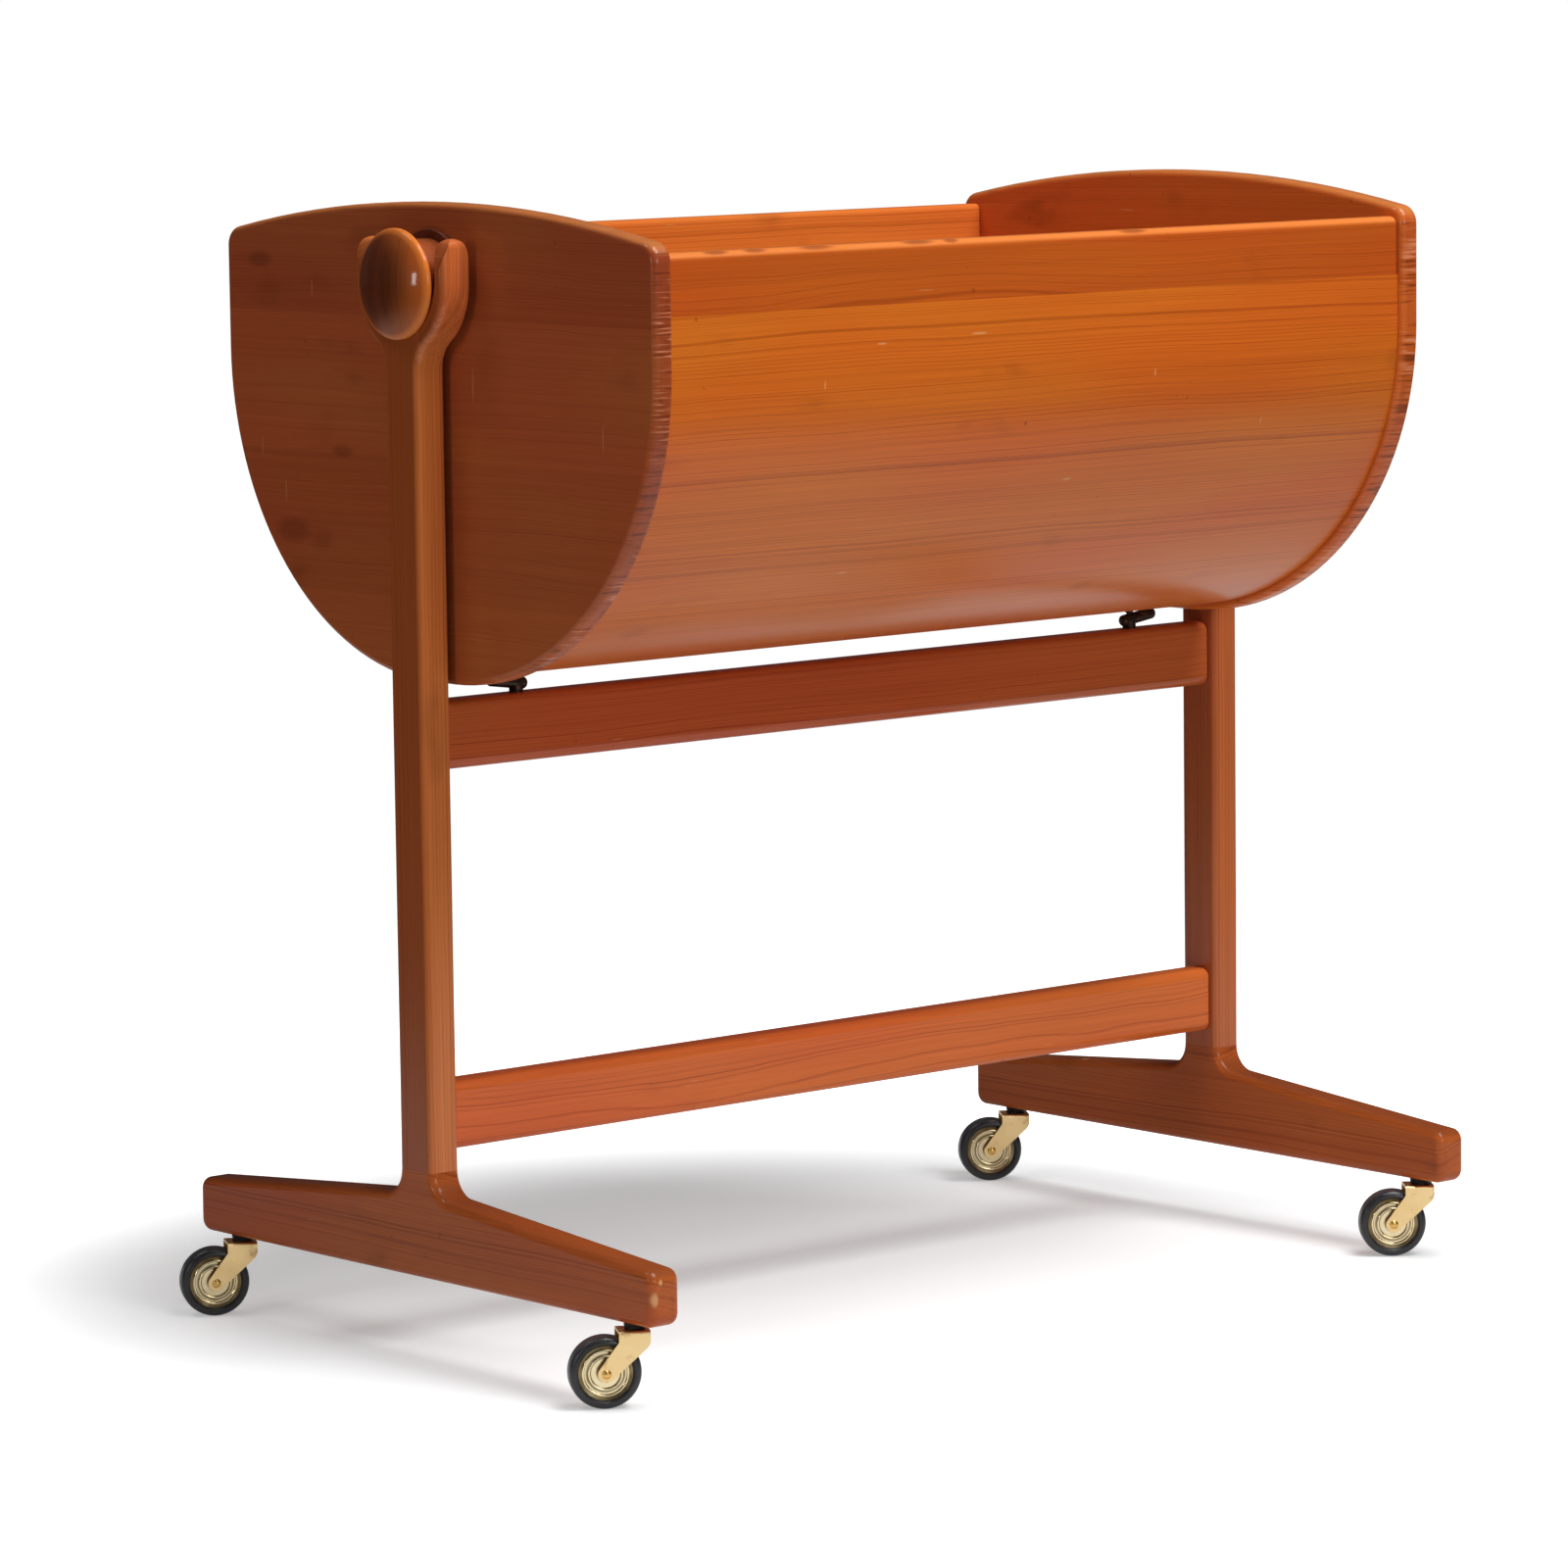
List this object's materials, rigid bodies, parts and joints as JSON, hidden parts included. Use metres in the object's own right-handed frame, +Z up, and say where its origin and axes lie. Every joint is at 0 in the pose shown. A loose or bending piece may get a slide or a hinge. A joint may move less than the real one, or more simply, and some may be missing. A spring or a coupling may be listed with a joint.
{
  "type": "rocking cradle",
  "caption": "Wooden cradle with a bent trough between end panels, hung on round shafts in the fork cups of a post stand on swivel casters.",
  "frame": {"origin": "on the floor under the middle of the stand", "axes": "+X along the cradle towards the right post, +Y to the back, +Z up"},
  "size_m": [0.8408, 0.5124, 0.81],
  "materials": {
    "panel_pine": "satin lacquer, dark red-brown",
    "shell_pine": "satin lacquer, orange-brown",
    "rail_pine": "satin lacquer, orange-brown",
    "post_pine": "satin lacquer, red-brown",
    "stretcher_pine": "satin lacquer, red-brown",
    "knob_pine": "gloss lacquer, brown",
    "dowel_beech": "plain turned beech",
    "brass": "stained brass plate",
    "rim_metal": "pressed and polished, yellowed",
    "black_metal": "black, worn",
    "dark_metal": "dark patina",
    "tyre": "solid rubber, matt"
  },
  "bodies": {
    "stand": {"left_post": "post_pine", "right_post": "post_pine", "left_foot": "post_pine", "right_foot": "post_pine", "upper_stretcher": "stretcher_pine", "lower_stretcher": "stretcher_pine", "stretcher_dowels": "dowel_beech", "foot_dowels": "dowel_beech", "left_lever_collar": "dark_metal", "left_lever_screw": "dark_metal", "right_lever_collar": "dark_metal", "right_lever_screw": "dark_metal", "left_back_caster_socket": "black_metal", "left_front_caster_socket": "black_metal", "right_back_caster_socket": "black_metal", "right_front_caster_socket": "black_metal"},
    "cradle": {"left_end_panel": "panel_pine", "right_end_panel": "panel_pine", "curved_shell": "shell_pine", "front_rail": "rail_pine", "back_rail": "rail_pine", "rail_dowels": "dowel_beech", "left_shaft": "knob_pine", "left_collar": "knob_pine", "left_knob": "knob_pine", "right_shaft": "knob_pine", "right_collar": "knob_pine", "right_knob": "knob_pine"},
    "left_lever": {"left_stop_lever": "dark_metal"},
    "right_lever": {"right_stop_lever": "dark_metal"},
    "left_back_swivel": {"left_back_caster_pin": "black_metal", "left_back_caster_fork": "brass", "left_back_caster_axle": "brass"},
    "left_back_wheel": {"left_back_wheel_rim": "rim_metal", "left_back_tyre": "tyre"},
    "left_front_swivel": {"left_front_caster_pin": "black_metal", "left_front_caster_fork": "brass", "left_front_caster_axle": "brass"},
    "left_front_wheel": {"left_front_wheel_rim": "rim_metal", "left_front_tyre": "tyre"},
    "right_back_swivel": {"right_back_caster_pin": "black_metal", "right_back_caster_fork": "brass", "right_back_caster_axle": "brass"},
    "right_back_wheel": {"right_back_wheel_rim": "rim_metal", "right_back_tyre": "tyre"},
    "right_front_swivel": {"right_front_caster_pin": "black_metal", "right_front_caster_fork": "brass", "right_front_caster_axle": "brass"},
    "right_front_wheel": {"right_front_wheel_rim": "rim_metal", "right_front_tyre": "tyre"}
  },
  "joints": [
    {"name": "cradle_rock", "type": "hinge", "parent": "stand", "child": "cradle", "pos_m": [0, 0, 0.755], "axis": [1, 0, 0], "range_deg": [-30, 30]},
    {"name": "left_lever_turn", "type": "hinge", "parent": "stand", "child": "left_lever", "pos_m": [-0.299, 0, 0.4712], "axis": [0, 0, 1], "range_deg": [-90, 90]},
    {"name": "right_lever_turn", "type": "hinge", "parent": "stand", "child": "right_lever", "pos_m": [0.299, 0, 0.4712], "axis": [0, 0, 1], "range_deg": [-90, 90]},
    {"name": "left_back_swivel_turn", "type": "hinge", "parent": "stand", "child": "left_back_swivel", "pos_m": [-0.384, 0.2226, 0.0587], "axis": [0, 0, 1], "continuous": true},
    {"name": "left_back_wheel_spin", "type": "hinge", "parent": "left_back_swivel", "child": "left_back_wheel", "pos_m": [-0.40268, 0.23262, 0.025], "axis": [-0.4726, -0.8813, 0], "continuous": true},
    {"name": "left_front_swivel_turn", "type": "hinge", "parent": "stand", "child": "left_front_swivel", "pos_m": [-0.384, -0.2226, 0.0587], "axis": [0, 0, 1], "continuous": true},
    {"name": "left_front_wheel_spin", "type": "hinge", "parent": "left_front_swivel", "child": "left_front_wheel", "pos_m": [-0.40208, -0.21152, 0.025], "axis": [-0.5225, -0.8526, 0], "continuous": true},
    {"name": "right_back_swivel_turn", "type": "hinge", "parent": "stand", "child": "right_back_swivel", "pos_m": [0.384, 0.2226, 0.0587], "axis": [0, 0, 1], "continuous": true},
    {"name": "right_back_wheel_spin", "type": "hinge", "parent": "right_back_swivel", "child": "right_back_wheel", "pos_m": [0.36657, 0.23467, 0.025], "axis": [-0.5693, -0.8221, 0], "continuous": true},
    {"name": "right_front_swivel_turn", "type": "hinge", "parent": "stand", "child": "right_front_swivel", "pos_m": [0.384, -0.2226, 0.0587], "axis": [0, 0, 1], "continuous": true},
    {"name": "right_front_wheel_spin", "type": "hinge", "parent": "right_front_swivel", "child": "right_front_wheel", "pos_m": [0.36732, -0.20952, 0.025], "axis": [-0.617, -0.7869, 0], "continuous": true}
  ]
}
